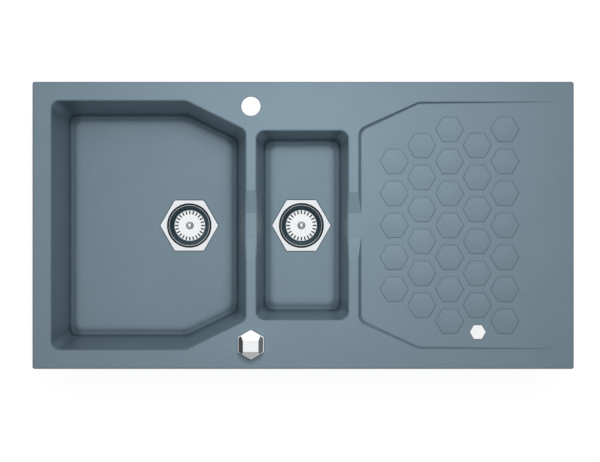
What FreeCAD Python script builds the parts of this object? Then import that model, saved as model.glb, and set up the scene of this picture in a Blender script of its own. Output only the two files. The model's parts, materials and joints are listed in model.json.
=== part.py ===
import FreeCAD, Part
import math
import os
from FreeCAD import Placement, Rotation, Vector

# Inset kitchen sink moulded in composite stone: a large bowl, a small bowl and a drainer, with a hexagonal
# basket strainer in each bowl and a rotary knob that lifts the large bowl's basket.
# Millimetres. X runs towards the drainer, Y to the back and Z up. The origin is the middle of the worktop
# cut-out, on the worktop's surface, where the underside of the rim lies.

# Deck and rim
sink_length = 980.0
sink_width = 520.0
outline_radius = 4.0
rim_height = 8.0
deck_drop = 4.0
seat_width = 14.0

# One overrun for every cutting shape, and one tolerance for finding edges
overrun = 5.0
edge_tolerance = 0.01

# Bowls
left_border = 34.0
large_side_border = 34.5
small_side_border = 88.5
divider_width = 19.0
wall = 9.0
floor_thickness = 9.0
bowl_radius = 15.0
bowl_floor_radius = 9.0
bowl_bevel = 14.0
rim_bevel = 2.0
large_length = 352.0
large_depth = 200.0
large_inset = 19.0
large_chamfer_run = 108.0
large_chamfer_rise = 53.0
small_length = 167.0
small_depth = 135.0
small_inset = 14.0

# Lowered dips in the divider and in the drainer's ridge, and the solid webs under them
dip_flat = 45.0
dip_run = 41.0
dip_depth = 14.5
dip_reach = 20.0
web_depth = 18.0

# The moulding is handed in as three solids that meet below the web between the bowls
parting_drop = 5.0

# Drainer
ridge_width = 18.0
drainer_side_border = 36.0
drainer_end_border = 35.0
drainer_fall = 13.0
drainer_step_run = 5.0
drainer_chamfer_run = 109.0
drainer_chamfer_rise = 49.0
drainer_corner_radius = 20.0
pan_thickness = 10.0

# Raised hexagons on the drainer
pad_across_flats = 44.5
pad_pitch = 57.9
pad_edge_height = 1.2
pad_crown = 1.9
pad_root = 1.0
pad_side_angle = 60.0
pad_ring_share = 0.5
first_pad_distance = 65.0
pad_side_margin = 5.0
pad_end_margin = 60.0

# Badge on the drainer
badge_across_flats = 24.5
badge_thickness = 0.8
badge_distance = 216.4
badge_front_inset = 66.6

# Tap hole and control hole, both in line with the divider and half-way across the deck's wide borders
deck_hole_radius = 17.5
deck_hole_chamfer = 1.0

# Drains, from the divider's edge of each bowl, and the hexagonal pad under each floor
large_drain_distance = 109.5
small_drain_distance = 82.0
drain_hole_radius = 44.0
drain_pad_across_flats = 120.0
drain_pad_height = 4.0

# Strainer cup with its hexagonal flange, its seal, and the strap across its outlet
flange_across_flats = 94.0
flange_corner_radius = 3.0
flange_sheet = 1.6
flange_proud = 0.3
flange_gap = 1.5
cup_sheet = 1.2
cup_radius = 42.0
cup_depth = 40.0
outlet_radius = 20.5
strap_drop = 4.0
strap_sheet = 2.0
strap_width = 14.0
strap_overlap = 5.0
cup_seal_thickness = 1.5
cup_seal_width = 2.2

# Basket with its stem, and the stopper under it
basket_sheet = 0.8
basket_rim_depth = 3.9
basket_rim_radius = 38.6
basket_top_radius = 38.0
basket_bottom_radius = 30.8
basket_depth = 27.0
basket_slot_count = 24
basket_slot_inner_radius = 21.4
basket_slot_outer_radius = 28.0
basket_slot_width = 2.6
stem_radius = 3.0
stem_knob_radius = 5.5
stem_knob_height = 5.0
stopper_radius = 24.5
stopper_thickness = 4.0
seat_gap = 0.3
fit_clearance = 0.05

# Waste body under each bowl, and its seal
body_seal_thickness = 2.0
body_seal_width = 7.0
body_flange_across_flats = 114.0
body_flange_thickness = 4.0
body_across_flats = 98.0
body_wall = 3.0
body_depth = 62.0
funnel_across_flats = 54.0
funnel_depth = 24.0
tail_radius = 23.9
tail_wall = 3.0
tail_length = 29.0
bridge_gap = 1.0
bridge_height = 9.0
bridge_width = 16.0

# Hollow bolt of each waste
bolt_head_across_flats = 15.0
bolt_head_height = 3.4
bolt_radius = 5.0
bolt_tip = 0.5

# Pop-up in the large waste: lift pin through the hollow bolt, bell crank, and the pivot it turns on
lift_travel = 10.0
lift_pin_radius = 3.0
lift_pin_margin = 1.5
lever_arm = 30.0
cable_arm = 20.0
lever_hub_radius = 5.0
lever_end_radius = 3.0
lever_thickness = 5.0
pivot_radius = 2.5
pivot_lug_thickness = 5.0
pivot_lug_width = 10.0
pivot_lug_height = 4.0

# Cable nipples, alike on the waste body and on the control
nipple_across_flats = 9.0
nipple_length = 10.0
nipple_bore_radius = 1.6

# Control above the deck
control_seal_thickness = 1.0
control_seal_across_flats = 44.0
control_seal_width = 4.0
rosette_across_flats = 46.5
rosette_thickness = 3.0
knob_across_flats = 44.5
knob_height = 20.0
knob_gap = 0.4
knob_back_crease = 8.0
knob_front_crease = 12.5
knob_side_crease = 14.0
knob_back_angle = 22.0
knob_front_angle = 18.0
knob_side_angle = 45.0
knob_bore_margin = 8.0

# Control under the deck
shank_across_flats = 30.0
clamp_thickness = 4.0
clamp_size = 46.0
clamp_notch = 3.0
clamp_clearance = 0.2
housing_size = 46.0
housing_height = 24.0
housing_wall = 2.5
socket_depth = 5.0
housing_cover_thickness = 3.0
spindle_radius = 4.0
crank_width = 10.0
crank_thickness = 6.0
crank_gap = 1.0

# Levels and places worked out from the sizes above
rim_top = rim_height
deck_bottom = -deck_drop
half_length = sink_length / 2
half_width = sink_width / 2
large_width = sink_width - 2 * large_side_border
small_width = sink_width - 2 * small_side_border
drainer_width = sink_width - 2 * drainer_side_border
large_left = -half_length + left_border
large_right = large_left + large_length
small_left = large_right + divider_width
small_right = small_left + small_length
drainer_left = small_right + ridge_width
drainer_end = half_length - drainer_end_border
divider_middle = (large_right + small_left) / 2
web_bottom = deck_bottom - web_depth
parting_level = web_bottom - parting_drop
large_floor = rim_top - large_depth
small_floor = rim_top - small_depth
large_drain_x = large_right - large_drain_distance
small_drain_x = small_left + small_drain_distance
tap_y = half_width - small_side_border / 2
badge_x = drainer_left + badge_distance
badge_y = badge_front_inset - half_width
drainer_low = drainer_left + drainer_step_run
drainer_slope = math.degrees(math.atan2(drainer_fall, drainer_end - drainer_low))
step_share = drainer_step_run / drainer_fall
ridge_dip_depth = drainer_fall * (drainer_end - small_right) / (drainer_end - drainer_low)
lowest_dip = rim_top - max(dip_depth, ridge_dip_depth)

# Levels of the strainers, counted from the floor of the bowl
flange_top = flange_proud
flange_bottom = flange_top - flange_sheet
pocket_depth = cup_seal_thickness - flange_bottom
cup_floor = -cup_depth
cup_bottom = cup_floor - cup_sheet
strap_top = cup_bottom - strap_drop
strap_bottom = strap_top - strap_sheet
basket_rim_top = -basket_rim_depth
basket_rim_bottom = basket_rim_top - basket_sheet
basket_bottom = basket_rim_top - basket_depth
basket_floor = basket_bottom + basket_sheet
half_flat_angle = 180 / basket_slot_count
stopper_bottom = cup_floor + seat_gap
stopper_top = stopper_bottom + stopper_thickness
pad_bottom = -floor_thickness - drain_pad_height
body_top = pad_bottom - body_seal_thickness
funnel_top = -body_depth
funnel_bottom = funnel_top - funnel_depth
tail_bottom = funnel_bottom - tail_length
bridge_top = strap_bottom - bridge_gap
bridge_bottom = bridge_top - bridge_height
bolt_top = strap_top + bolt_head_height
bolt_bottom = bridge_bottom - bolt_tip

# Levels of the pop-up, counted from the floor of the large bowl
lift_pin_top = stopper_bottom - seat_gap
lift_pin_bottom = bolt_bottom - lift_pin_margin - lift_travel
lever_tilt = math.asin(lift_travel / 2 / lever_arm)
pivot_y = -lever_arm
pivot_z = (lift_pin_bottom - seat_gap + (lever_arm - lift_pin_radius) * math.tan(lever_tilt)
           - lever_end_radius / math.cos(lever_tilt))
cable_z = pivot_z + cable_arm

# Levels of the control, counted from the top of the deck
deck_thickness = rim_height + deck_drop
rosette_bottom = control_seal_thickness
rosette_top = rosette_bottom + rosette_thickness
knob_bottom = rosette_top + knob_gap
knob_top = knob_bottom + knob_height
clamp_top = -deck_thickness
clamp_bottom = clamp_top - clamp_thickness
shank_bottom = clamp_bottom - socket_depth
housing_top = clamp_bottom
housing_bottom = housing_top - housing_height
housing_cover_bottom = housing_bottom - housing_cover_thickness
crank_top = shank_bottom - crank_gap
crank_bottom = crank_top - crank_thickness
spindle_top = knob_top - knob_bore_margin
cable_pull = 2 * cable_arm * math.sin(lever_tilt)
cable_run = housing_size / 2 - housing_wall
crank_throw = (math.sqrt(cable_run ** 2 + 4 * cable_run * cable_pull + 2 * cable_pull ** 2) - cable_run) / 2
control_cable_z = (crank_top + crank_bottom) / 2


# Shared shapes

def face_of(points):
    """Flat face bounded by straight lines through the points."""
    return Part.Face(Part.makePolygon(points + points[:1]))


def frustum(low, low_z, high, high_z):
    """Solid with flat sides between two outlines that have as many corners."""
    low_ring = [Vector(x, y, low_z) for x, y in low]
    high_ring = [Vector(x, y, high_z) for x, y in high]
    faces = [face_of(low_ring[::-1]), face_of(high_ring)]
    for index in range(len(low)):
        faces.append(face_of([low_ring[index - 1], low_ring[index], high_ring[index], high_ring[index - 1]]))
    return Part.makeSolid(Part.makeShell(faces))


def prism(outline, low_z, high_z):
    """Upright solid on one outline."""
    base = face_of([Vector(x, y, low_z) for x, y in outline])
    return base.extrude(Vector(0, 0, high_z - low_z))


def side_edges(solid):
    """Edges that climb from the bottom outline to the top one."""
    return [edge for edge in solid.Edges if abs(edge.Vertexes[0].Z - edge.Vertexes[-1].Z) > edge_tolerance]


def edges_at(solid, level):
    """Edges that lie wholly at one height."""
    return [edge for edge in solid.Edges
            if abs(edge.BoundBox.ZMin - level) < edge_tolerance
            and abs(edge.BoundBox.ZMax - level) < edge_tolerance]


def inset(outline, distance):
    """Outline, drawn anticlockwise, moved inwards by a distance, or outwards by a negative one."""
    normals = []
    for (x0, y0), (x1, y1) in zip(outline, outline[1:] + outline[:1]):
        length = math.hypot(x1 - x0, y1 - y0)
        normals.append(((y0 - y1) / length, (x1 - x0) / length))
    moved = []
    for index, (x, y) in enumerate(outline):
        (ax, ay), (bx, by) = normals[index - 1], normals[index]
        shift = distance / (1 + ax * bx + ay * by)
        moved.append((x + shift * (ax + bx), y + shift * (ay + by)))
    return moved


def rectangle(x0, y0, x1, y1):
    """Rectangular outline, drawn anticlockwise."""
    return [(x0, y0), (x1, y0), (x1, y1), (x0, y1)]


def box(x0, y0, z0, x1, y1, z1):
    """Box between two opposite corners."""
    return Part.makeBox(x1 - x0, y1 - y0, z1 - z0, Vector(x0, y0, z0))


def polygon(radius, count, first_corner_angle=0):
    """Regular outline round the origin, through corners at one radius."""
    angles = [math.radians(first_corner_angle + 360 * corner / count) for corner in range(count)]
    return [(radius * math.cos(angle), radius * math.sin(angle)) for angle in angles]


def hexagon(across_flats, first_corner_angle=0):
    """Regular hexagon round the origin."""
    return polygon(across_flats / math.sqrt(3), 6, first_corner_angle)


def hexagon_prism(across_flats, low_z, high_z, corner_radius):
    """Upright hexagonal solid with rounded corners."""
    solid = prism(hexagon(across_flats), low_z, high_z)
    return solid.makeFillet(corner_radius, side_edges(solid))


def hexagon_frame(across_flats, width, low_z, high_z, first_corner_angle=0):
    """Flat hexagonal ring of one width."""
    inner = hexagon(across_flats - 2 * width, first_corner_angle)
    return prism(hexagon(across_flats, first_corner_angle), low_z, high_z).cut(
        prism(inner, low_z - overrun, high_z + overrun))


def cylinder(radius, low_z, high_z, x=0, y=0):
    """Upright cylinder."""
    return Part.makeCylinder(radius, high_z - low_z, Vector(x, y, low_z))


def spread(shape, count, first_angle=0):
    """Copies of a shape, evenly spaced round the Z axis."""
    copies = []
    for index in range(count):
        copy = shape.copy()
        copy.rotate(Vector(0, 0, 0), Vector(0, 0, 1), first_angle + 360 * index / count)
        copies.append(copy)
    return copies


def moved(shape, x, y, z):
    """Copy of a shape, moved."""
    copy = shape.copy()
    copy.translate(Vector(x, y, z))
    return copy


def on_slope(shape):
    """Copy of a shape built at rim level, turned down onto the drainer's sloping floor."""
    copy = shape.copy()
    copy.rotate(Vector(drainer_end, 0, rim_top), Vector(0, 1, 0), -drainer_slope)
    return copy


# Sink body

def chamfered_outline(left, right, half, run, rise, towards_right):
    """Outline of a basin with its two corners on one side cut at a slant."""
    if towards_right:
        return [(left, -half), (right - run, -half), (right, rise - half),
                (right, half - rise), (right - run, half), (left, half)]
    return [(left, rise - half), (left + run, -half), (right, -half),
            (right, half), (left + run, half), (left, half - rise)]


def basin(outline, floor, wall_inset, thickness, bottom, top):
    """Drafted bowl form with sharp edges: the hollow for no thickness, or the outside of its walls."""
    share = wall_inset / (rim_top - floor)
    low = inset(outline, share * (rim_top - bottom) - thickness)
    high = inset(outline, share * (rim_top - top) - thickness)
    return frustum(low, bottom, high, top)


def bowl_outside(outline, floor, wall_inset):
    """Outside of a bowl, bevelled at its upright corners and round its bottom."""
    solid = basin(outline, floor, wall_inset, wall, floor - floor_thickness, (rim_top + deck_bottom) / 2)
    return solid.makeChamfer(bowl_bevel, side_edges(solid) + edges_at(solid, floor - floor_thickness))


def bowl_hollow(outline, floor, wall_inset):
    """Hollow of a bowl, rounded at its corners and round its floor, reaching out above the rim."""
    solid = basin(outline, floor, wall_inset, 0, floor, rim_top + overrun)
    solid = solid.makeFillet(bowl_radius, side_edges(solid))
    return solid.makeFillet(bowl_floor_radius, edges_at(solid, floor))


def deck():
    """Flat deck with a rounded outline and the step that drops into the cut-out."""
    plate = prism(rectangle(-half_length, -half_width, half_length, half_width), 0, rim_top)
    plate = plate.makeFillet(outline_radius, side_edges(plate))
    plate = plate.makeChamfer(rim_bevel, edges_at(plate, rim_top))
    step = prism(inset(rectangle(-half_length, -half_width, half_length, half_width), seat_width),
                 deck_bottom, rim_top / 2)
    step = step.makeFillet(outline_radius, side_edges(step))
    return plate.fuse(step)


def dip_space(left, right):
    """Space above a lowered dip whose floor lies at rim level, with a ramp up at either end."""
    foot = dip_flat / 2
    height = dip_depth + overrun
    reach = foot + height * dip_run / dip_depth
    section = [(-foot, rim_top), (foot, rim_top), (reach, rim_top + height), (-reach, rim_top + height)]
    return face_of([Vector(left, y, z) for y, z in section]).extrude(Vector(right - left, 0, 0))


def drainer_outline():
    """Outline of the drainer at rim level, running on past the end where its floor comes up."""
    return chamfered_outline(drainer_left, drainer_end + overrun, drainer_width / 2,
                             drainer_chamfer_run, drainer_chamfer_rise, False)


def drainer_block(low_z, high_z, margin):
    """Steep-sided block on the drainer's outline."""
    outline = drainer_outline()
    low = inset(outline, step_share * (rim_top - low_z) - margin)
    high = inset(outline, step_share * (rim_top - high_z) - margin)
    solid = frustum(low, low_z, high, high_z)
    return solid.makeFillet(drainer_corner_radius, side_edges(solid))


def below_slope(depth):
    """Everything lower than the drainer's floor by a depth."""
    return on_slope(box(-sink_length, -sink_width, rim_top - sink_width, sink_length, sink_width,
                        rim_top - depth))


def drainer_hollow():
    """Wedge of space above the drainer's sloping floor, open to the small bowl through the ridge's dip."""
    block = drainer_block(rim_top - drainer_fall - overrun, rim_top + overrun, 0)
    dip = on_slope(dip_space(small_right - dip_reach, drainer_low + dip_reach))
    return block.cut(below_slope(0)).fuse(dip).removeSplitter()


def drainer_pan():
    """Thickened underside that follows the drainer's floor."""
    low_z = rim_top - drainer_fall - pan_thickness - overrun
    block = drainer_block(low_z, (rim_top + deck_bottom) / 2, wall + drainer_step_run)
    return block.cut(below_slope(pan_thickness))


def pad_places():
    """Centres of the raised hexagons: close-packed, inside the drainer's outline and clear of the badge."""
    column_pitch = pad_pitch * math.sqrt(3) / 2
    half_corners = pad_across_flats / math.sqrt(3)
    badge_room = half_corners + badge_across_flats / math.sqrt(3) + pad_side_margin
    room = face_of([Vector(x, y, 0) for x, y in inset(drainer_outline(), pad_side_margin)])
    last_x = drainer_end - pad_end_margin - half_corners
    columns = int((last_x - drainer_left - first_pad_distance) / column_pitch) + 1
    rows = int(drainer_width / pad_pitch)
    places = []
    for column in range(columns):
        x = drainer_left + first_pad_distance + column * column_pitch
        offset = pad_pitch / 2 if column % 2 else 0
        for row in range(-rows, rows + 1):
            y = offset + row * pad_pitch
            corners = [Vector(x + dx, y + dy, 0) for dx, dy in hexagon(pad_across_flats)]
            clear = math.hypot(x - badge_x, y - badge_y) > badge_room
            if clear and all(room.isInside(corner, edge_tolerance, True) for corner in corners):
                places.append((x, y))
    return places


def pad():
    """Raised hexagon with sloping sides, and a low dome made of two rings of flat facets."""
    spread_per_height = 2 / math.tan(math.radians(pad_side_angle))
    top_across_flats = pad_across_flats - spread_per_height * pad_edge_height
    levels = [(pad_across_flats + spread_per_height * pad_root, -pad_root),
              (top_across_flats, pad_edge_height),
              (pad_ring_share * top_across_flats, pad_edge_height + pad_crown * (1 - pad_ring_share ** 2))]
    rings = [[Vector(x, y, z) for x, y in hexagon(across_flats)] for across_flats, z in levels]
    peak = Vector(0, 0, pad_edge_height + pad_crown)
    faces = [face_of(rings[0][::-1])]
    for index in range(len(rings[0])):
        faces += [face_of([low[index - 1], low[index], high[index], high[index - 1]])
                  for low, high in zip(rings, rings[1:])]
        faces.append(face_of([rings[-1][index - 1], rings[-1][index], peak]))
    return Part.makeSolid(Part.makeShell(faces))


def pads():
    """All raised hexagons, on the drainer's floor."""
    return [on_slope(moved(pad(), x, y, rim_top)) for x, y in pad_places()]


def drain_pad():
    """Hexagonal pad under a bowl's floor, for the waste to seal on."""
    return prism(hexagon(drain_pad_across_flats), pad_bottom, -floor_thickness / 2)


def drain_cuts(x, floor):
    """Hole through a bowl's floor and the hexagonal pocket that the flange lies in."""
    pocket = hexagon_prism(flange_across_flats + 2 * flange_gap, -pocket_depth, overrun,
                           flange_corner_radius + flange_gap)
    hole = cylinder(drain_hole_radius, pad_bottom - overrun, overrun)
    return [moved(pocket, x, 0, floor), moved(hole, x, 0, floor)]


def deck_hole(y):
    """Hole through the deck with a small chamfer round its top."""
    hole = cylinder(deck_hole_radius, deck_bottom - overrun, rim_top + overrun)
    flare_top = deck_hole_radius + deck_hole_chamfer + overrun
    flare = Part.makeCone(deck_hole_radius, flare_top, deck_hole_chamfer + overrun,
                          Vector(0, 0, rim_top - deck_hole_chamfer))
    return moved(hole.fuse(flare), divider_middle, y, 0)


def rim_edges(body, hollow):
    """Edges where a bowl's walls meet the deck and the dips."""
    walls = Part.makeCompound([face for face in hollow.Faces if face.BoundBox.ZMax > rim_top])
    found = []
    for edge in body.Edges:
        if edge.BoundBox.ZMin < lowest_dip - edge_tolerance:
            continue
        middle = edge.valueAt((edge.FirstParameter + edge.LastParameter) / 2)
        if walls.distToShape(Part.Vertex(middle))[0] < edge_tolerance:
            found.append(edge)
    return found


def sink_body():
    """The moulding: deck, bowls, dips and drainer in one piece."""
    large = chamfered_outline(large_left, large_right, large_width / 2,
                              large_chamfer_run, large_chamfer_rise, True)
    small = rectangle(small_left, -small_width / 2, small_right, small_width / 2)
    large_hollow = bowl_hollow(large, large_floor, large_inset)
    small_hollow = bowl_hollow(small, small_floor, small_inset)

    divider = (large_right - dip_reach, small_left + dip_reach)
    ridge = (small_right - dip_reach, drainer_low + dip_reach)
    webs = [box(left, -small_width / 2, web_bottom, right, small_width / 2, 0)
            for left, right in (divider, ridge)]
    divider_dip = moved(dip_space(*divider), 0, 0, -dip_depth)
    body = deck().fuse(webs + [bowl_outside(large, large_floor, large_inset),
                               bowl_outside(small, small_floor, small_inset),
                               drainer_pan(),
                               moved(drain_pad(), large_drain_x, 0, large_floor),
                               moved(drain_pad(), small_drain_x, 0, small_floor)])
    body = body.cut([large_hollow, small_hollow, drainer_hollow(), divider_dip]).removeSplitter()
    body = body.makeChamfer(rim_bevel, rim_edges(body, large_hollow) + rim_edges(body, small_hollow))
    body = body.fuse(pads())
    return body.cut(drain_cuts(large_drain_x, large_floor) + drain_cuts(small_drain_x, small_floor)
                    + [deck_hole(tap_y), deck_hole(-tap_y)])


def parted_sink():
    """The moulding as three solids that meet: the deck with the drainer, and the lower part of each bowl."""
    body = sink_body()
    below = box(-sink_length, -sink_width, large_floor - sink_width, sink_length, sink_width, parting_level)
    return Part.makeCompound(body.cut(below).Solids + body.common(below).Solids)


# Badge

def drainer_badge():
    """Bare hexagonal plate stuck on the drainer's floor."""
    plate = prism(hexagon(badge_across_flats), 0, badge_thickness)
    return on_slope(moved(plate, badge_x, badge_y, rim_top))


# Strainers

def turned(radius, low_z, high_z):
    """Upright form of a turned wall, with one flat for each slot of the sieve."""
    return prism(polygon(radius, basket_slot_count, half_flat_angle), low_z, high_z)


def strainer_cup():
    """Drawn steel cup with a hexagonal flange, an outlet, and a strap under it for the bolt."""
    flange = hexagon_prism(flange_across_flats, flange_bottom, flange_top, flange_corner_radius)
    cup = flange.fuse(turned(cup_radius + cup_sheet, cup_bottom, flange_bottom))
    cup = cup.cut([turned(cup_radius, cup_floor, flange_top + overrun),
                   turned(outlet_radius, cup_bottom - overrun, cup_floor + overrun)])
    reach = outlet_radius + strap_overlap
    side = strap_width / 2
    legs = reach - strap_sheet
    strap = box(-reach, -side, strap_bottom, reach, side, cup_bottom)
    strap = strap.cut([box(-legs, -strap_width, strap_top, legs, strap_width, cup_bottom + overrun),
                       cylinder(bolt_radius + seat_gap, strap_bottom - overrun, strap_top + overrun)])
    return cup.fuse(strap)


def cup_seal():
    """Rubber frame between the flange and the floor of its pocket."""
    return hexagon_frame(flange_across_flats, cup_seal_width, -pocket_depth, flange_bottom)


def body_seal():
    """Rubber frame between the pad under the bowl and the waste body."""
    return hexagon_frame(body_flange_across_flats, body_seal_width, body_top, pad_bottom)


def sieve_form(shift, low_z, high_z):
    """Tapered form of the sieve with one flat behind each slot, its sides shifted inwards."""
    slope = (basket_top_radius - basket_bottom_radius) / (basket_rim_bottom - basket_bottom)
    low = basket_bottom_radius + slope * (low_z - basket_bottom) - shift
    high = basket_bottom_radius + slope * (high_z - basket_bottom) - shift
    return frustum(polygon(low, basket_slot_count, half_flat_angle), low_z,
                   polygon(high, basket_slot_count, half_flat_angle), high_z)


def basket():
    """Pressed steel sieve with flat-sided walls and radial slots, and its stem with a knob to lift it by."""
    rim = turned(basket_rim_radius, basket_rim_bottom, basket_rim_top)
    sieve = sieve_form(0, basket_bottom, basket_rim_bottom).fuse(rim)
    slot = box(basket_slot_inner_radius, -basket_slot_width / 2, basket_bottom - overrun,
               basket_slot_outer_radius, basket_slot_width / 2, basket_floor + overrun)
    sieve = sieve.cut([sieve_form(basket_sheet, basket_floor, basket_rim_top + overrun)]
                      + spread(slot, basket_slot_count))
    return sieve.fuse([cylinder(stem_knob_radius, basket_floor, basket_floor + stem_knob_height),
                       cylinder(stem_radius, stopper_top, basket_bottom)])


def stopper():
    """Rubber plug at the foot of the stem that closes the outlet, with flats like the sieve's."""
    return turned(stopper_radius, stopper_bottom, stopper_top)


# Wastes

def hexagon_funnel(shift, high_z, low_z):
    """Inside or outside of a waste body: a hexagonal chamber that narrows to a funnel."""
    wide = hexagon(body_across_flats - 2 * shift)
    narrow = hexagon(funnel_across_flats - 2 * shift)
    return prism(wide, funnel_top, high_z).fuse(frustum(narrow, low_z, wide, funnel_top))


def waste_body():
    """Plastic body under a bowl: flange, hexagonal chamber, funnel, tail, and a bridge for the bolt."""
    body = prism(hexagon(body_flange_across_flats), body_top - body_flange_thickness, body_top)
    body = body.fuse([hexagon_funnel(0, body_top, funnel_bottom),
                      cylinder(tail_radius, tail_bottom, funnel_bottom)])
    body = body.cut([hexagon_funnel(body_wall, body_top + overrun, funnel_bottom + body_wall),
                     cylinder(tail_radius - tail_wall, tail_bottom - overrun, funnel_top)])
    bridge = box(-body_across_flats, -bridge_width / 2, bridge_bottom,
                 body_across_flats, bridge_width / 2, bridge_top)
    bridge = bridge.common(prism(hexagon(body_across_flats - body_wall), bridge_bottom, bridge_top))
    bolt_hole = cylinder(bolt_radius + fit_clearance, bridge_bottom - overrun, bridge_top + overrun)
    return body.fuse(bridge).cut(bolt_hole).removeSplitter()


def fixing_bolt():
    """Hollow bolt that pulls the cup and the waste body together."""
    head = prism(hexagon(bolt_head_across_flats), strap_top, bolt_top)
    bolt = head.fuse(cylinder(bolt_radius, bolt_bottom, strap_top))
    return bolt.cut(cylinder(lift_pin_radius + fit_clearance, bolt_bottom - overrun, bolt_top + overrun))


# Pop-up of the large waste

def along_x(radius, x0, x1, y, z):
    """Cylinder along the X axis."""
    return Part.makeCylinder(radius, x1 - x0, Vector(x0, y, z), Vector(1, 0, 0))


def nipple(wall_thickness):
    """Hexagonal nose and the bore that takes the cable through a wall, as two upright solids."""
    nose = prism(hexagon(nipple_across_flats), 0, nipple_length)
    return nose, cylinder(nipple_bore_radius, -wall_thickness - overrun, nipple_length + overrun)


def facing(shape, direction, place):
    """Copy of an upright shape, turned to face a direction at a place."""
    copy = shape.copy()
    copy.Placement = Placement(place, Rotation(Vector(0, 0, 1), direction))
    return copy


def large_waste_body():
    """Waste body with a lug and pivot for the bell crank inside, and the cable's nipple on its front."""
    lug = box(lever_thickness / 2 + seat_gap, -body_across_flats / 2, funnel_bottom,
              lever_thickness / 2 + seat_gap + pivot_lug_thickness, pivot_y + pivot_lug_width / 2,
              pivot_z + pivot_lug_height)
    lug = lug.common(hexagon_funnel(body_wall / 2, body_top, funnel_bottom))
    pivot = along_x(pivot_radius, -lever_thickness / 2, lever_thickness / 2 + seat_gap, pivot_y, pivot_z)
    front = Vector(0, -body_across_flats / 2, cable_z)
    nose, bore = [facing(shape, Vector(0, -1, 0), front) for shape in nipple(body_wall)]
    return waste_body().fuse([lug, pivot, nose]).cut(bore)


def lift_pin():
    """Pin through the hollow bolt that pushes the stopper up."""
    return cylinder(lift_pin_radius, lift_pin_bottom, lift_pin_top)


def lift_lever():
    """Bell crank: one arm under the lift pin, the other up to the cable."""
    half = lever_thickness / 2
    width = lever_end_radius
    lift_arm = box(-half, pivot_y, pivot_z - width, half, 0, pivot_z + width)
    upright_arm = box(-half, pivot_y - width, pivot_z, half, pivot_y + width, cable_z)
    lever = along_x(lever_hub_radius, -half, half, pivot_y, pivot_z).fuse(
        [lift_arm, upright_arm, along_x(width, -half, half, 0, pivot_z),
         along_x(width, -half, half, pivot_y, cable_z)])
    bore = along_x(pivot_radius + fit_clearance, -lever_thickness, lever_thickness, pivot_y, pivot_z)
    lever = lever.cut(bore)
    lever.rotate(Vector(0, pivot_y, pivot_z), Vector(1, 0, 0), -math.degrees(lever_tilt))
    return lever.removeSplitter()


# Control

def control_seal():
    """Rubber frame between the deck and the rosette."""
    return hexagon_frame(control_seal_across_flats, control_seal_width, 0, control_seal_thickness, 90)


def control_rosette():
    """Hexagonal base of the knob, with a hexagonal shank through the deck, notched for the clamp."""
    plate = prism(hexagon(rosette_across_flats, 90), rosette_bottom, rosette_top)
    shank = prism(hexagon(shank_across_flats, 90), shank_bottom, rosette_bottom)
    notch = box(shank_across_flats / 2 - clamp_notch, -shank_across_flats, clamp_bottom,
                shank_across_flats, shank_across_flats, clamp_top)
    bore = cylinder(spindle_radius + fit_clearance, shank_bottom - overrun, rosette_top + overrun)
    return plate.fuse(shank).cut(spread(notch, 2) + [bore]).removeSplitter()


def control_clamp():
    """Fork pushed into the shank's notches from the front, tight under the deck."""
    half = clamp_size / 2
    slot = shank_across_flats / 2 - clamp_notch + clamp_clearance
    plate = box(-half, -half, clamp_bottom, half, half, clamp_top)
    slot_end = shank_across_flats / math.sqrt(3) + clamp_clearance
    return plate.cut(box(-slot, -clamp_size, clamp_bottom - overrun, slot, slot_end, clamp_top + overrun))


def falling_cut(crease, angle):
    """Wedge above a plane that falls away along Y from a crease across the knob's top."""
    size = knob_across_flats
    far = crease + math.copysign(size, crease)
    fall = size * math.tan(math.radians(angle))
    section = [(crease, knob_top), (far, knob_top - fall), (far, knob_top + size), (crease, knob_top + size)]
    return face_of([Vector(-size, y, z) for y, z in section]).extrude(Vector(2 * size, 0, 0))


def control_knob():
    """Hexagonal knob with bevelled left and right sides, and a top that falls to the back and front."""
    knob = prism(hexagon(knob_across_flats, 90), knob_bottom, knob_top)
    bore = cylinder(spindle_radius + fit_clearance, knob_bottom - overrun, spindle_top + seat_gap)
    sides = spread(falling_cut(knob_side_crease, knob_side_angle), 2, 90)
    return knob.cut([falling_cut(knob_back_crease, knob_back_angle),
                     falling_cut(-knob_front_crease, knob_front_angle), bore] + sides)


def control_spindle():
    """Shaft from the knob down to the cover, with the crank that pulls the cable."""
    side = crank_width / 2
    crank = box(-side, 0, crank_bottom, side, crank_throw + side, crank_top)
    return cylinder(spindle_radius, housing_cover_bottom, spindle_top).fuse(crank)


def housing_block(shift, low_z, high_z):
    """Upright block on the housing's square outline, its sides shifted inwards."""
    half = housing_size / 2 - shift
    return box(-half, -half, low_z, half, half, high_z)


def control_housing():
    """Square housing on the shank's lower end, with the cable's nipple on its side."""
    housing = housing_block(0, housing_bottom, housing_top)
    place = Vector(housing_size / 2, crank_throw, control_cable_z)
    nose, bore = [facing(shape, Vector(1, 0, 0), place) for shape in nipple(housing_wall)]
    socket = prism(hexagon(shank_across_flats + 2 * clamp_clearance, 90), housing_bottom - overrun,
                   housing_top + overrun)
    hollow = housing_block(housing_wall, housing_bottom - overrun, shank_bottom)
    return housing.fuse(nose).cut([hollow, socket, bore])


def housing_cover():
    """Cover under the control's housing, with the spindle's lower bearing."""
    plate = housing_block(0, housing_cover_bottom, housing_bottom)
    return plate.cut(cylinder(spindle_radius + fit_clearance, housing_cover_bottom - overrun,
                              housing_bottom + overrun))


def save(name, shape):
    """Write one piece to its file."""
    shape.exportStep("parts/" + name + ".step")


def at_large_drain(shape):
    """Copy of a shape built at a bowl's floor, in the large bowl."""
    return moved(shape, large_drain_x, 0, large_floor)


def at_small_drain(shape):
    """Copy of a shape built at a bowl's floor, in the small bowl."""
    return moved(shape, small_drain_x, 0, small_floor)


def at_both_drains(shape):
    """Both copies of a shape built at a bowl's floor."""
    return Part.makeCompound([at_large_drain(shape), at_small_drain(shape)])


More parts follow.
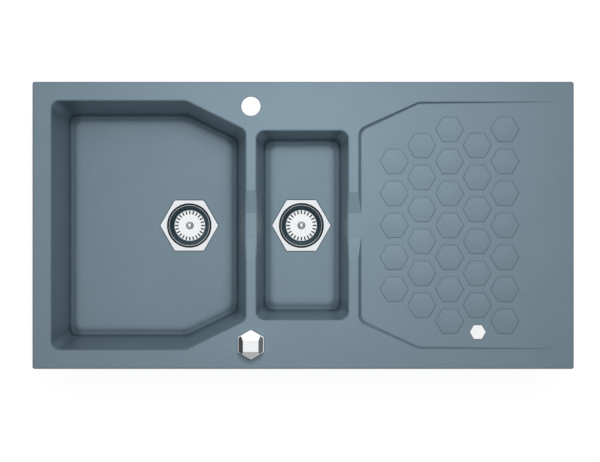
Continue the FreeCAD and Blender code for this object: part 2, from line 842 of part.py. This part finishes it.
def at_control(shape):
    """Copy of a shape built at the top of the deck, at the control hole."""
    return moved(shape, divider_middle, -tap_y, rim_top)


os.makedirs("parts", exist_ok=True)
save("sink_body", parted_sink())
save("drainer_badge", drainer_badge())
save("strainer_cups", at_both_drains(strainer_cup()))
save("cup_seals", at_both_drains(cup_seal()))
save("body_seals", at_both_drains(body_seal()))
save("fixing_bolts", at_both_drains(fixing_bolt()))
for place, put in (("large", at_large_drain), ("small", at_small_drain)):
    save(place + "_basket", put(basket()))
    save(place + "_stopper", put(stopper()))
save("large_waste_body", at_large_drain(large_waste_body()))
save("small_waste_body", at_small_drain(waste_body()))
save("lift_pin", at_large_drain(lift_pin()))
save("lift_lever", at_large_drain(lift_lever()))
save("control_seal", at_control(control_seal()))
save("control_rosette", at_control(control_rosette()))
save("control_clamp", at_control(control_clamp()))
save("control_knob", at_control(control_knob()))
save("control_spindle", at_control(control_spindle()))
save("control_housing", at_control(control_housing()))
save("housing_cover", at_control(housing_cover()))
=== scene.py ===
import json
import math

import bmesh
import bpy
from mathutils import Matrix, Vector


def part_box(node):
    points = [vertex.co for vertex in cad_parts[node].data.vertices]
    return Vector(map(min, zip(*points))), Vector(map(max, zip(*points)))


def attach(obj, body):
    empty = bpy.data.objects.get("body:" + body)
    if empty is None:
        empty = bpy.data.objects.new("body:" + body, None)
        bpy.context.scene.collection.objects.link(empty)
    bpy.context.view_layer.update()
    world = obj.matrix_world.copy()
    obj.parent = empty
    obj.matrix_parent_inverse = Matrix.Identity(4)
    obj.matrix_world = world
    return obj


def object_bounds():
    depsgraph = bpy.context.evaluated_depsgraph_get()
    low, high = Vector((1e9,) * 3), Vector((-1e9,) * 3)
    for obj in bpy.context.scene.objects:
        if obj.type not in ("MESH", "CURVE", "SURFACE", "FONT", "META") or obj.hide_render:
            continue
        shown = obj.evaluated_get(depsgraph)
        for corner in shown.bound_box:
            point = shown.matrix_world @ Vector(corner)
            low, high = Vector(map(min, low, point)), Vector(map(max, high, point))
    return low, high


# Looks of the kitchen sink: materials, small details, studio light and the camera above it.
# Metres, in the CAD frame: X runs towards the drainer, Y to the back and Z up from the worktop's surface.
# Names that end in share or shares hold plain numbers, most of them parts of one.

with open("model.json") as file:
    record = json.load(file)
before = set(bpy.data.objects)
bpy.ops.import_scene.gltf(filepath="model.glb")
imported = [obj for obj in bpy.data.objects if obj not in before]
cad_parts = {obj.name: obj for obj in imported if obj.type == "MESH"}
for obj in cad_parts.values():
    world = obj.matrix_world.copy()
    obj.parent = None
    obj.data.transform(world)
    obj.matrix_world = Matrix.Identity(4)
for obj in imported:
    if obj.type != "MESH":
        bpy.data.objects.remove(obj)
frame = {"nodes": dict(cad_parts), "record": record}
solid_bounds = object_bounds()

# Camera, straight above the sink and a little off its middle, with lens and sensor in millimetres
camera_x = -0.0056
camera_y = -0.0103
camera_height = 5.408
camera_lens = 179.0
camera_sensor = 36.0

# Lamps: a soft box above the back, and a broad light from overhead
key_size = 0.3
key_place = (-0.01, 0.26, 0.92)
key_target = (-0.01, 0.12, 0.0)
key_power = 2.1
key_spread = math.radians(100)
overhead_strength = 1.24
overhead_angle = math.radians(26)
overhead_tilt = math.radians(-6)

# World: its strength as light and as background. In mirrors its strength is the sum of two steps, each of
# which rises over a range of leaning towards the bright side.
white = (1, 1, 1, 1)
ambient_strength = 0.10
background_strength = 1.0
bright_side_share = (0.10, 0.55, 0.75)
mirror_lean_shares = ((0.05, 0.42), (0.66, 0.92))
mirror_strength_shares = ((0.06, 0.85), (0, 0.60))

# Floor: its glow as light, and as it is seen
floor_gap = 0.0005
floor_half = 4.0
floor_corner_shares = ((-1, -1), (1, -1), (1, 1), (-1, 1))
floor_colour = (0.22, 0.22, 0.22, 1)
floor_rough_share = 0.9
floor_glow = 0.40
floor_seen_glow = 0.90

# Strainers, counted from the axis and the rim of each. The first four numbers place their painted shade.
sieve_floor_radius = 0.0284
sieve_mouth_radius = 0.0376
cup_mouth_radius = 0.0419
strainer_shade_blur = 0.0005
basket_bead_radius = 0.0380
basket_bead_size = 0.0005
basket_bead_steps = 12
basket_floor_drop = 0.0262
lift_knob_profile = ((0.0, 0.0), (0.0074, 0.0), (0.0067, 0.0006), (0.0063, 0.0016), (0.0061, 0.0030),
                     (0.0057, 0.0042), (0.0048, 0.0052), (0.0036, 0.0059), (0.0020, 0.0063), (0.0, 0.0064))
turn_count = 48

# Threads of the outlet tails, and screws of the housing's cover
metres_per_millimetre = 0.001
thread_pitch = 0.0023
thread_rise = 0.0004
thread_sink = 0.0002
thread_half = 0.0008
thread_margin = 0.0025
screw_inset = 0.005
screw_profile = ((0.0, -0.0008), (0.0011, -0.0008), (0.0012, -0.0018), (0.0020, -0.0017), (0.0026, -0.0012),
                 (0.0028, -0.0005), (0.0028, 0.0), (0.0, 0.0))

# Shading of the solids and of the small pieces
weld_distance = 0.00002
piece_weld_distance = 0.00001
smooth_angle = math.radians(17.6)

# Colours of the materials. The baskets' steel is paler than that of the flanges, with painted shade inside.
composite_base = (0.148, 0.214, 0.260)
steel_base = (0.78, 0.81, 0.83)
basket_base = (0.85, 0.87, 0.88)
strainer_shade_base = (0.11, 0.185, 0.235)
polished_base = (0.88, 0.90, 0.90)
chrome_base = (0.86, 0.88, 0.90)
rubber_base = (0.028, 0.028, 0.030)
waste_base = (0.68, 0.69, 0.69)
lever_base = (0.28, 0.29, 0.30)
housing_base = (0.045, 0.046, 0.050)

# Roughness of the materials, at their smoothest and at their roughest
composite_rough_shares = (0.36, 0.44)
satin_rough_shares = (0.16, 0.28)
polished_rough_shares = (0.10, 0.20)
chrome_rough_shares = (0.06, 0.12)
# Roughness where the strainers take painted shade
strainer_shade_rough_share = 0.6
rubber_rough_shares = (0.55, 0.75)
waste_rough_shares = (0.38, 0.52)
lever_rough_shares = (0.40, 0.55)
housing_rough_shares = (0.42, 0.58)

# Patterns: size of their grains, number of finer layers, and depth where they shape the surface
grain_size = 0.0011
grain_layers = 3
grain_depth = 0.00004
fleck_size = 0.0022
fleck_layers = 1
mottle_size = 0.09
mottle_layers = 3
scratch_size = 0.0006
scratch_length = 0.03
scratch_layers = 2
scratch_depth = 0.000006
film_size = 0.012
film_layers = 4
dust_size = 0.012
dust_layers = 5
mould_depth = 0.00003
layer_rough_share = 0.6

# Ranges of the patterns over which their effect rises from none to full
full_range_shares = (0, 1)
middle_range_shares = (0.3, 0.7)
fleck_range_shares = (0.62, 0.74)
gloss_range_shares = (0.2, 0.8)
scratch_range_shares = (0.25, 0.75)
film_range_shares = (0.45, 0.75)
dust_range_shares = (0.4, 0.8)

# How strongly each effect tints a material, and its tint as a share of the material's colour
composite_grain_tint_shares = (0.88, 1.12)
fleck_strength_share = 0.30
fleck_tint_share = 1.5
mottle_strength_share = 0.06
mottle_tint_share = 0.6
composite_edge_strength_share = 0.12
composite_edge_tint_share = 1.6
film_strength_share = 0.12
film_tint_share = 0.82
metal_edge_strength_share = 0.25
metal_edge_tint_share = 1.12
dust_strength_share = 0.5
dust_pale_share = 0.12
mould_grain_strength_share = 0.2
mould_grain_tint_share = 0.85
mould_edge_strength_share = 0.35

# Worn edges, and painted shade in crevices and corners, which see only a share of open sky within their
# reach.
# The painted shade deep in the bowls' corners is darkest where they slope, and also takes away their gloss.
edge_radius = 0.0012
edge_samples = 6
edge_turn_shares = (0.99, 0.85)
sky_samples = 8
crevice_reach = 0.003
crevice_sky_shares = (0.97, 0.72)
crevice_shade_tint_share = 0.6
corner_reach = 0.022
corner_depth = -0.09
corner_sky_shares = (0.92, 0.78)
corner_upright_share = 0.1
corner_slope_share = 0.25
corner_shade_tint_shares = (0.08, 0.42)
composite_gloss_share = 0.75
corner_shade_gloss_share = 0.05
# Painted shade inside the strainers lies only on faces turned upwards
strainer_shade_slope_share = 0.1


# Node helpers

def add_node(tree, kind, **values):
    """New node of one kind, with values set on its inputs by name."""
    made = tree.nodes.new(kind)
    for name, value in values.items():
        made.inputs[name].default_value = value
    return made


def coordinates(tree, kind):
    """Coordinates of one kind."""
    return add_node(tree, "ShaderNodeTexCoord").outputs[kind]


def noise(tree, size, layers, stretch_share=(1, 1, 1)):
    """Factor of a noise pattern with grains of one size, drawn out along an axis by a share."""
    scale = add_node(tree, "ShaderNodeMapping")
    scale.inputs["Scale"].default_value = [share / size for share in stretch_share]
    pattern = add_node(tree, "ShaderNodeTexNoise", Scale=1, Detail=layers, Roughness=layer_rough_share)
    tree.links.new(coordinates(tree, "Object"), scale.inputs["Vector"])
    tree.links.new(scale.outputs["Vector"], pattern.inputs["Vector"])
    return pattern.outputs["Fac"]


def spread_out(tree, factor, from_range, to_range):
    """Factor stretched from one range of values to another."""
    made = add_node(tree, "ShaderNodeMapRange")
    names = ("From Min", "From Max", "To Min", "To Max")
    for name, value in zip(names, (*from_range, *to_range)):
        made.inputs[name].default_value = value
    tree.links.new(factor, made.inputs["Value"])
    return made.outputs["Result"]


def fill_sockets(tree, sockets, contents):
    """Put values on sockets, or link other sockets to them."""
    for socket, content in zip(sockets, contents):
        if isinstance(content, bpy.types.NodeSocket):
            tree.links.new(content, socket)
        else:
            socket.default_value = content


def mix(tree, kind, factor, first, second):
    """Mix of two colours or of two values, each given as numbers or as a socket."""
    made = add_node(tree, "ShaderNodeMix")
    made.data_type = "RGBA" if kind == "RGBA" else "FLOAT"
    tree.links.new(factor, made.inputs["Factor"])
    sockets = [socket for socket in made.inputs if socket.type == kind and socket.name != "Factor"]
    fill_sockets(tree, sockets, (first, second))
    return [socket for socket in made.outputs if socket.type == kind][0]


def solid_colour(colour):
    """Colour made opaque, unless it is a socket."""
    return colour if isinstance(colour, bpy.types.NodeSocket) else (*colour, 1)


def mix_colours(tree, factor, first, second):
    """Mix of two colours, given as red, green and blue or as sockets."""
    return mix(tree, "RGBA", factor, solid_colour(first), solid_colour(second))


def mix_values(tree, factor, first, second):
    """Mix of two values, given as numbers or as sockets."""
    return mix(tree, "VALUE", factor, first, second)


def combined(tree, operation, first, second):
    """Two factors joined by one operation of arithmetic."""
    made = add_node(tree, "ShaderNodeMath")
    made.operation = operation
    fill_sockets(tree, made.inputs, (first, second))
    return made.outputs[0]


def combined_vectors(tree, operation, first, second):
    """Node that joins two vectors by one operation."""
    made = add_node(tree, "ShaderNodeVectorMath")
    made.operation = operation
    fill_sockets(tree, made.inputs, (first, second))
    return made


def times(tree, first, second):
    """Product of two factors."""
    return combined(tree, "MULTIPLY", first, second)


def bump(tree, height, depth):
    """Normal bent by a height pattern."""
    made = add_node(tree, "ShaderNodeBump", Strength=1, Distance=depth)
    tree.links.new(height, made.inputs["Height"])
    return made.outputs["Normal"]


def height_of(tree, vector):
    """Upward part of a vector."""
    split = add_node(tree, "ShaderNodeSeparateXYZ")
    tree.links.new(vector, split.inputs[0])
    return split.outputs["Z"]


def edge_share(tree):
    """Factor that rises to 1 along edges of the shape."""
    rounded = add_node(tree, "ShaderNodeBevel", Radius=edge_radius)
    rounded.samples = edge_samples
    true = add_node(tree, "ShaderNodeNewGeometry")
    turn = combined_vectors(tree, "DOT_PRODUCT", rounded.outputs["Normal"], true.outputs["Normal"])
    return spread_out(tree, turn.outputs["Value"], edge_turn_shares, full_range_shares)


def sky_shade_share(tree, reach, sky_shares):
    """Factor of painted shade that rises from 0 to 1 in inner corners, between two shares of open sky within
    a reach.
    """
    open_share = add_node(tree, "ShaderNodeAmbientOcclusion", Distance=reach)
    open_share.samples = sky_samples
    return spread_out(tree, open_share.outputs["AO"], sky_shares, full_range_shares)


def upward_share(tree, least_share, full_share):
    """Factor that rises from a least share on upright faces to 1 on faces turned upwards by a full share."""
    return spread_out(tree, height_of(tree, coordinates(tree, "Normal")), (0, full_share), (least_share, 1))


def depth_share(tree, high, low):
    """Factor that rises from 0 at a high level to 1 at a low level."""
    return spread_out(tree, height_of(tree, coordinates(tree, "Object")), (high, low), full_range_shares)


def axis_distance(tree, places):
    """Distance from the nearest of some upright axes."""
    distances = []
    for place in places:
        offset = combined_vectors(tree, "SUBTRACT", coordinates(tree, "Object"), place)
        flat = combined_vectors(tree, "MULTIPLY", offset.outputs[0], (1, 1, 0))
        length = add_node(tree, "ShaderNodeVectorMath")
        length.operation = "LENGTH"
        tree.links.new(flat.outputs[0], length.inputs[0])
        distances.append(length.outputs["Value"])
    nearest = distances[0]
    for distance in distances[1:]:
        nearest = combined(tree, "MINIMUM", nearest, distance)
    return nearest


def tinted(base, share):
    """Colour made darker or paler by a share."""
    return [min(1, share * part) for part in base]


def overlaid(tree, colour, factor, range_shares, strength_share, tint):
    """Colour with a tint over it, which a factor brings in over a range up to its full strength."""
    return mix_colours(tree, spread_out(tree, factor, range_shares, (0, strength_share)), colour, tint)


def new_material(name):
    """New material, its node tree and its main shader."""
    material = bpy.data.materials.new(name)
    material.use_nodes = True
    tree = material.node_tree
    return material, tree, tree.nodes["Principled BSDF"]


# Materials

def corner_shade_share(tree):
    """Factor of painted shade that rises to 1 deep in the bowls, where their floors meet their walls."""
    inner = times(tree, sky_shade_share(tree, corner_reach, corner_sky_shares),
                  depth_share(tree, corner_depth + corner_reach, corner_depth))
    return times(tree, inner, upward_share(tree, corner_upright_share, corner_slope_share))


def composite_material():
    """Grey-blue stone composite: mineral grain, faint mottling, rubbed edges, and painted shade in crevices
    and inner corners.
    """
    material, tree, shader = new_material("composite")
    base = composite_base
    grain = noise(tree, grain_size, grain_layers)
    fleck = noise(tree, fleck_size, fleck_layers)
    mottle = noise(tree, mottle_size, mottle_layers)
    dark, pale = [tinted(base, share) for share in composite_grain_tint_shares]
    colour = overlaid(tree, dark, grain, middle_range_shares, 1, pale)
    colour = overlaid(tree, colour, fleck, fleck_range_shares, fleck_strength_share,
                      tinted(base, fleck_tint_share))
    colour = overlaid(tree, colour, mottle, middle_range_shares, mottle_strength_share,
                      tinted(base, mottle_tint_share))
    colour = overlaid(tree, colour, edge_share(tree), full_range_shares, composite_edge_strength_share,
                      tinted(base, composite_edge_tint_share))
    # Painted shade in small crevices, darker where less open sky is seen
    colour = mix_colours(tree, sky_shade_share(tree, crevice_reach, crevice_sky_shares), colour,
                         tinted(base, crevice_shade_tint_share))
    # Painted shade deep in the bowls' corners, darker the steeper the slope
    corner = corner_shade_share(tree)
    steep, level = [tinted(base, share) for share in corner_shade_tint_shares]
    colour = mix_colours(tree, corner, colour, mix_colours(tree, upward_share(tree, 0, 1), steep, level))
    tree.links.new(colour, shader.inputs["Base Color"])
    # The painted shade also lowers the gloss in those corners
    gloss = spread_out(tree, corner, full_range_shares, (composite_gloss_share, corner_shade_gloss_share))
    # An export that leaves out the link keeps this level
    shader.inputs["Specular IOR Level"].default_value = composite_gloss_share
    tree.links.new(gloss, shader.inputs["Specular IOR Level"])
    roughness = spread_out(tree, mottle, gloss_range_shares, composite_rough_shares)
    tree.links.new(roughness, shader.inputs["Roughness"])
    tree.links.new(bump(tree, grain, grain_depth), shader.inputs["Normal"])
    return material


def metal_material(name, base, rough_shares, stretch_share):
    """Metal with fine drawn-out scratches and a faint film of water marks."""
    material, tree, shader = new_material(name)
    scratch = noise(tree, scratch_size, scratch_layers, stretch_share)
    film = noise(tree, film_size, film_layers)
    colour = overlaid(tree, base, film, film_range_shares, film_strength_share, tinted(base, film_tint_share))
    colour = overlaid(tree, colour, edge_share(tree), full_range_shares, metal_edge_strength_share,
                      tinted(base, metal_edge_tint_share))
    tree.links.new(colour, shader.inputs["Base Color"])
    shader.inputs["Metallic"].default_value = 1
    tree.links.new(spread_out(tree, scratch, scratch_range_shares, rough_shares), shader.inputs["Roughness"])
    tree.links.new(bump(tree, scratch, scratch_depth), shader.inputs["Normal"])
    return material


def strainer_material(name, base, places, low_radius, high_radius):
    """Satin steel of a strainer, with painted shade inside between two distances from its axis or axes."""
    material = metal_material(name, base, satin_rough_shares, (1, 1, 1))
    tree = material.node_tree
    shader = tree.nodes["Principled BSDF"]
    distance = axis_distance(tree, places)
    # Painted shade and painted dark reflection on the deep inside, between the two radii
    painted_shade = times(tree, spread_out(tree, distance, (low_radius, low_radius + strainer_shade_blur), (0, 1)),
                  spread_out(tree, distance, (high_radius - strainer_shade_blur, high_radius), (1, 0)))
    painted_shade = times(tree, painted_shade, upward_share(tree, 0, strainer_shade_slope_share))
    # clean and bright hold the steel's own colour and roughness, under the painted shade
    clean = shader.inputs["Base Color"].links[0].from_socket
    tree.links.new(mix_colours(tree, painted_shade, clean, strainer_shade_base), shader.inputs["Base Color"])
    bright = shader.inputs["Roughness"].links[0].from_socket
    tree.links.new(mix_values(tree, painted_shade, bright, strainer_shade_rough_share), shader.inputs["Roughness"])
    return material


def moulded_material(name, base, rough_shares):
    """Moulded plastic or rubber with a fine eroded texture, pale dust and edges worn paler."""
    material, tree, shader = new_material(name)
    grain = noise(tree, grain_size, grain_layers)
    dust = noise(tree, dust_size, dust_layers)
    pale = [part + dust_pale_share * (1 - part) for part in base]
    colour = overlaid(tree, base, dust, dust_range_shares, dust_strength_share, pale)
    colour = overlaid(tree, colour, grain, middle_range_shares, mould_grain_strength_share,
                      tinted(base, mould_grain_tint_share))
    colour = overlaid(tree, colour, edge_share(tree), full_range_shares, mould_edge_strength_share, pale)
    tree.links.new(colour, shader.inputs["Base Color"])
    tree.links.new(spread_out(tree, dust, middle_range_shares, rough_shares), shader.inputs["Roughness"])
    tree.links.new(bump(tree, grain, mould_depth), shader.inputs["Normal"])
    return material


def make_materials():
    """One material for each slot of the record."""
    round_share = (1, 1, 1)
    brushed_share = (scratch_size / scratch_length, 1, 1)
    metals = {"satin_steel": (steel_base, satin_rough_shares, brushed_share),
              "polished_steel": (polished_base, polished_rough_shares, brushed_share),
              "chrome": (chrome_base, chrome_rough_shares, round_share)}
    mouldings = {"rubber": (rubber_base, rubber_rough_shares),
                 "waste_plastic": (waste_base, waste_rough_shares),
                 "lever_plastic": (lever_base, lever_rough_shares),
                 "housing_plastic": (housing_base, housing_rough_shares)}
    made = {"composite": composite_material()}
    made.update({name: metal_material(name, *looks) for name, looks in metals.items()})
    made.update({name: moulded_material(name, *looks) for name, looks in mouldings.items()})
    return made


# Shading of the solids

def shading_group():
    """Geometry nodes that join the faces of a solid and mark its sharp edges."""
    tree = bpy.data.node_groups.new("solid_shading", "GeometryNodeTree")
    tree.interface.new_socket("Geometry", in_out="INPUT", socket_type="NodeSocketGeometry")
    tree.interface.new_socket("Geometry", in_out="OUTPUT", socket_type="NodeSocketGeometry")
    source = add_node(tree, "NodeGroupInput")
    result = add_node(tree, "NodeGroupOutput")
    plain = add_node(tree, "GeometryNodeRemoveAttribute", Name="custom_normal")
    joined = add_node(tree, "GeometryNodeMergeByDistance", Distance=weld_distance)
    smooth = add_node(tree, "GeometryNodeSetShadeSmooth")
    smooth.domain = "FACE"
    sharp = add_node(tree, "GeometryNodeSetShadeSmooth")
    sharp.domain = "EDGE"
    sharp.inputs["Shade Smooth"].default_value = False
    angle = add_node(tree, "GeometryNodeInputMeshEdgeAngle")
    over = combined(tree, "GREATER_THAN", angle.outputs["Unsigned Angle"], smooth_angle)
    chain = (source, plain, joined, smooth, sharp, result)
    for first, second in zip(chain, chain[1:]):
        tree.links.new(first.outputs[0], second.inputs[0])
    tree.links.new(over, sharp.inputs["Selection"])
    return tree


def middle(name):
    """Middle of a solid's box."""
    low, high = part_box(name)
    return (low + high) / 2


def strainer_materials():
    """Materials of the baskets and of the cups, with painted shade inside, by the name of their solid."""
    baskets = [name for name in frame["nodes"] if name.endswith("_basket")]
    made = {name: strainer_material(name, basket_base, [middle(name)], sieve_floor_radius, sieve_mouth_radius)
            for name in baskets}
    made["strainer_cups"] = strainer_material(
        "strainer_cups", steel_base, [middle(name) for name in baskets], 0, cup_mouth_radius)
    return made


def dress_solids(materials):
    """Give every solid its material and shading with clean flats and soft edges."""
    group = shading_group()
    slots = {part["node"]: part["material_slot"] for part in frame["record"]["subparts"]}
    own_materials = strainer_materials()
    for name, solid in frame["nodes"].items():
        solid.data.materials.clear()
        solid.data.materials.append(own_materials.get(name, materials[slots[name]]))
        shading = solid.modifiers.new("shading", "NODES")
        shading.node_group = group
        weights = solid.modifiers.new("weights", "WEIGHTED_NORMAL")
        weights.keep_sharp = True


# Small pieces

def mesh_piece(name, corners, faces, material, body):
    """Smooth closed piece made from corners and faces, which moves with a body."""
    mesh = bpy.data.meshes.new(name)
    mesh.from_pydata(corners, [], faces)
    joined = bmesh.new()
    joined.from_mesh(mesh)
    bmesh.ops.remove_doubles(joined, verts=joined.verts, dist=piece_weld_distance)
    bmesh.ops.recalc_face_normals(joined, faces=joined.faces)
    joined.to_mesh(mesh)
    joined.free()
    mesh.shade_smooth()
    mesh.materials.append(material)
    piece = bpy.data.objects.new(name, mesh)
    bpy.context.scene.collection.objects.link(piece)
    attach(piece, body)


def turned_piece(name, profile, place, material, body):
    """Piece turned about an upright axis from a profile of radius and height."""
    angles = [2 * math.pi * index / turn_count for index in range(turn_count)]
    corners = [Vector(place) + Vector((radius * math.cos(angle), radius * math.sin(angle), height))
               for radius, height in profile for angle in angles]
    faces = []
    for ring in range(len(profile) - 1):
        for index in range(turn_count):
            following = (index + 1) % turn_count
            low, high = ring * turn_count, (ring + 1) * turn_count
            faces.append((low + index, low + following, high + following, high + index))
    mesh_piece(name, corners, faces, material, body)


def basket_trim(size, materials):
    """Turned lift knob and rolled rim of one basket."""
    node, body = size + "_basket", size + "_strainer"
    low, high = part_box(node)
    axis_x, axis_y = (low.x + high.x) / 2, (low.y + high.y) / 2
    steel = materials["satin_steel"]
    turned_piece(size + "_lift_knob", lift_knob_profile, (axis_x, axis_y, high.z - basket_floor_drop),
                 steel, body)
    angles = [2 * math.pi * index / basket_bead_steps for index in range(basket_bead_steps + 1)]
    bead = [(basket_bead_radius + basket_bead_size * math.cos(angle), basket_bead_size * math.sin(angle))
            for angle in angles]
    turned_piece(size + "_basket_rim", bead, (axis_x, axis_y, high.z), steel, body)


def outlet_thread(mount, material):
    """Helical ridge round one outlet tail, which fades into the tail at both ends."""
    radius = mount["dims"]["r_mm"] * metres_per_millimetre
    length = mount["dims"]["length_mm"] * metres_per_millimetre - 2 * thread_margin
    start = Vector(mount["pos_m"]) - Vector((0, 0, length / 2))
    count = round(length / thread_pitch * turn_count)
    rings = []
    for index in range(count + 1):
        turn = index / turn_count
        across = Vector((math.cos(2 * math.pi * turn), math.sin(2 * math.pi * turn), 0))
        crest = thread_rise * min(1, turn, (count - index) / turn_count)
        section = ((-thread_sink, -thread_half), (crest, 0), (-thread_sink, thread_half))
        rings.append([start + (radius + out) * across + Vector((0, 0, turn * thread_pitch + up))
                      for out, up in section])
    corners = [corner for ring in rings for corner in ring]
    sides = len(rings[0])
    faces = [range(sides), range(sides * count, sides * count + sides)]
    for low in range(0, sides * count, sides):
        for side in range(sides):
            following = (side + 1) % sides
            high = low + sides
            faces.append((low + side, high + side, high + following, low + following))
    mesh_piece(mount["name"] + "_thread", corners, faces, material, "sink")


def cover_screws(materials):
    """Socket screws in the corners of the housing's cover."""
    low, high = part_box("housing_cover")
    for side, x in (("left", low.x + screw_inset), ("right", high.x - screw_inset)):
        for end, y in (("front", low.y + screw_inset), ("back", high.y - screw_inset)):
            turned_piece(f"cover_screw_{end}_{side}", screw_profile, (x, y, low.z), materials["satin_steel"],
                         "sink")


# Studio

def add_light(name, data):
    """Light that neither the camera nor a mirror sees."""
    light = bpy.data.objects.new(name, data)
    light.visible_camera = False
    light.visible_glossy = False
    bpy.context.scene.collection.objects.link(light)
    return light


def back_light():
    """Soft box above the back of the sink."""
    data = bpy.data.lights.new("back_light", "AREA")
    data.shape = "SQUARE"
    data.size = key_size
    data.spread = key_spread
    data.energy = key_power
    light = add_light("back_light", data)
    light.location = key_place
    light.rotation_euler = (Vector(key_target) - Vector(key_place)).to_track_quat("-Z", "Y").to_euler()


def overhead_light():
    """Broad, even light from above."""
    data = bpy.data.lights.new("overhead_light", "SUN")
    data.energy = overhead_strength
    data.angle = overhead_angle
    light = add_light("overhead_light", data)
    light.rotation_euler = (overhead_tilt, 0, 0)


def seen_rays(tree):
    """Factor that is 1 for rays that show the background: straight, mirrored or through glass."""
    rays = add_node(tree, "ShaderNodeLightPath")
    seen = rays.outputs["Is Camera Ray"]
    for name in ("Is Glossy Ray", "Is Transmission Ray"):
        seen = combined(tree, "MAXIMUM", seen, rays.outputs[name])
    return seen


def studio_world():
    """Even fill light, seen as a white background, and in mirrors as a studio bright above and behind."""
    world = bpy.data.worlds.new("studio")
    world.use_nodes = True
    tree = world.node_tree
    background = tree.nodes["Background"]
    background.inputs["Color"].default_value = white
    lean = combined_vectors(tree, "DOT_PRODUCT", coordinates(tree, "Generated"), bright_side_share)
    steps = [spread_out(tree, lean.outputs["Value"], lean_shares, strength_shares)
             for lean_shares, strength_shares in zip(mirror_lean_shares, mirror_strength_shares)]
    mirrored = combined(tree, "ADD", *steps)
    rays = add_node(tree, "ShaderNodeLightPath")
    strength = mix_values(tree, rays.outputs["Is Glossy Ray"], ambient_strength, mirrored)
    for name in ("Is Transmission Ray", "Is Camera Ray"):
        strength = mix_values(tree, rays.outputs[name], strength, background_strength)
    tree.links.new(strength, background.inputs["Strength"])
    bpy.context.scene.world = world


def floor_material():
    """White glow that keeps a shadow and is clear from underneath."""
    material, tree, shader = new_material("floor")
    shader.inputs["Base Color"].default_value = floor_colour
    shader.inputs["Roughness"].default_value = floor_rough_share
    shader.inputs["Emission Color"].default_value = white
    glow = spread_out(tree, seen_rays(tree), full_range_shares, (floor_glow, floor_seen_glow))
    tree.links.new(glow, shader.inputs["Emission Strength"])
    facing = add_node(tree, "ShaderNodeNewGeometry")
    tree.links.new(spread_out(tree, facing.outputs["Backfacing"], (0, 1), (1, 0)), shader.inputs["Alpha"])
    return material


def studio_floor():
    """Floor just below the sink."""
    level = solid_bounds[0].z - floor_gap
    corners = [(floor_half * x, floor_half * y, level) for x, y in floor_corner_shares]
    mesh = bpy.data.meshes.new("floor")
    mesh.from_pydata(corners, [], [range(len(corners))])
    mesh.materials.append(floor_material())
    floor = bpy.data.objects.new("floor", mesh)
    bpy.context.scene.collection.objects.link(floor)


def studio_camera():
    """Camera straight above the sink, with the back of the sink at the top."""
    data = bpy.data.cameras.new("camera")
    data.lens = camera_lens
    data.sensor_width = camera_sensor
    camera = bpy.data.objects.new("camera", data)
    camera.location = (camera_x, camera_y, camera_height)
    bpy.context.scene.collection.objects.link(camera)
    bpy.context.scene.camera = camera


materials = make_materials()
dress_solids(materials)
for size in ("large", "small"):
    basket_trim(size, materials)
for mount in frame["record"]["mounts"]:
    if mount["name"].endswith("_outlet"):
        outlet_thread(mount, materials["waste_plastic"])
cover_screws(materials)
studio_world()
studio_floor()
back_light()
overhead_light()
studio_camera()
bpy.context.scene.view_settings.view_transform = "Standard"
